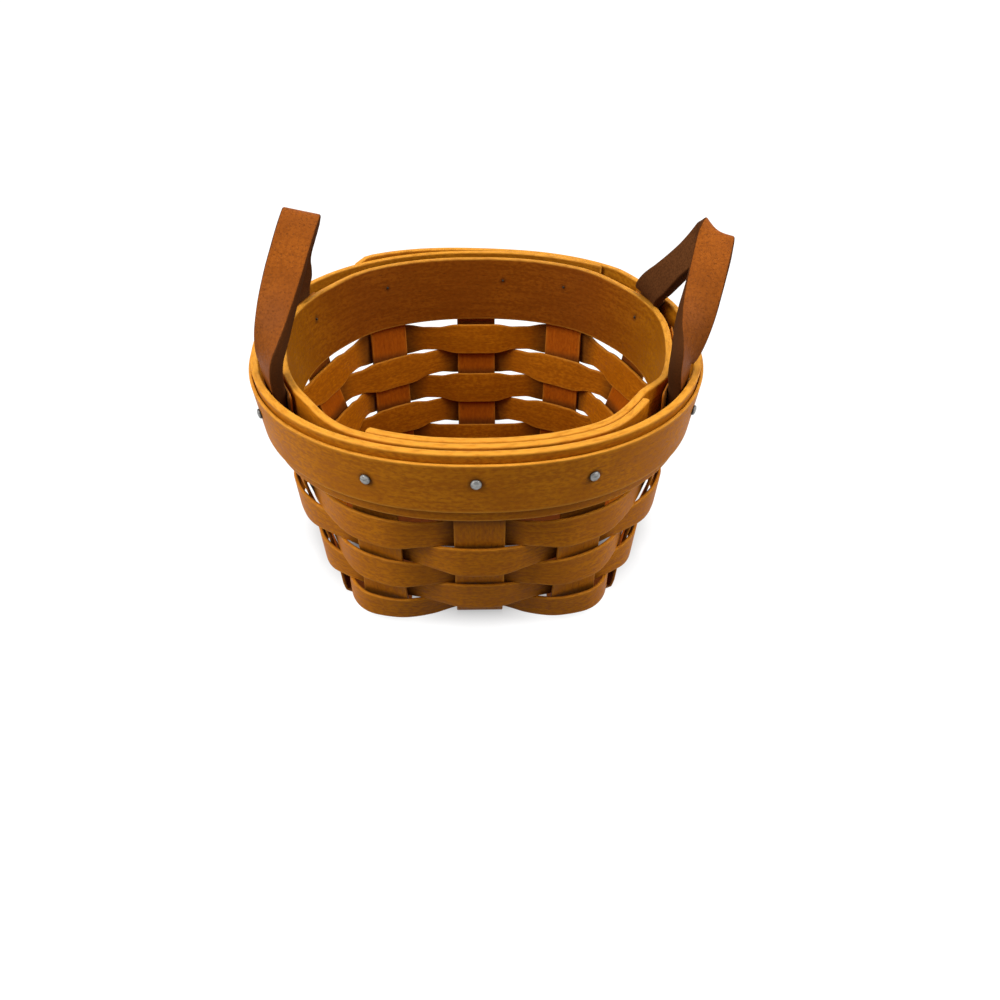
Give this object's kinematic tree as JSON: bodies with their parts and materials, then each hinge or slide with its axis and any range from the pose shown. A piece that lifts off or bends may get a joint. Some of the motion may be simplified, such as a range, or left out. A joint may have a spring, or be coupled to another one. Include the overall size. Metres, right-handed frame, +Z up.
{
  "type": "woven splint basket",
  "caption": "Small honey-stained woven wood splint basket with a square base, a round nailed rim of lapped bands and two leather ear loops for lifting it.",
  "frame": {"origin": "on the floor under the middle of the base, on the underside of the middle cross splint", "axes": "+Z up, -Y towards the front, where the inner band's lap is, +X towards the right ear"},
  "size_m": [0.1457, 0.1455, 0.1153],
  "materials": {
    "splint_wood": "stained, satin",
    "weaver_wood": "stained, satin",
    "band_wood": "stained, satin",
    "leather": "tan grain, raw edges",
    "nail_steel": "dull"
  },
  "bodies": {
    "basket": {"long_splint_left": "splint_wood", "long_splint_middle": "splint_wood", "long_splint_right": "splint_wood", "cross_splint_front": "splint_wood", "cross_splint_middle": "splint_wood", "cross_splint_back": "splint_wood", "weaver_row_1": "weaver_wood", "weaver_row_2": "weaver_wood", "weaver_row_3": "weaver_wood", "weaver_row_4": "weaver_wood", "weaver_row_5": "weaver_wood", "inner_rim_band": "band_wood", "outer_rim_band": "band_wood", "rim_trim_strip": "band_wood", "left_ear_tab_front": "leather", "left_ear_tab_back": "leather", "right_ear_tab_front": "leather", "right_ear_tab_back": "leather", "nail_front_left": "nail_steel", "nail_front_middle": "nail_steel", "nail_front_right": "nail_steel", "nail_back_left": "nail_steel", "nail_back_middle": "nail_steel", "nail_back_right": "nail_steel", "nail_left_ear_front": "nail_steel", "nail_left_ear_back": "nail_steel", "nail_right_ear_front": "nail_steel", "nail_right_ear_back": "nail_steel"},
    "left_ear": {"left_ear_loop": "leather"},
    "right_ear": {"right_ear_loop": "leather"}
  },
  "joints": [
    {"name": "left_ear_bend", "type": "hinge", "parent": "basket", "child": "left_ear", "pos_m": [-0.05815, 0, 0.08], "axis": [0, -1, 0], "range_deg": [-26, 54], "stiffness_Nm_per_rad": 0.02},
    {"name": "right_ear_bend", "type": "hinge", "parent": "basket", "child": "right_ear", "pos_m": [0.05815, 0, 0.08], "axis": [0, 1, 0], "range_deg": [-65, 15], "stiffness_Nm_per_rad": 0.02}
  ]
}
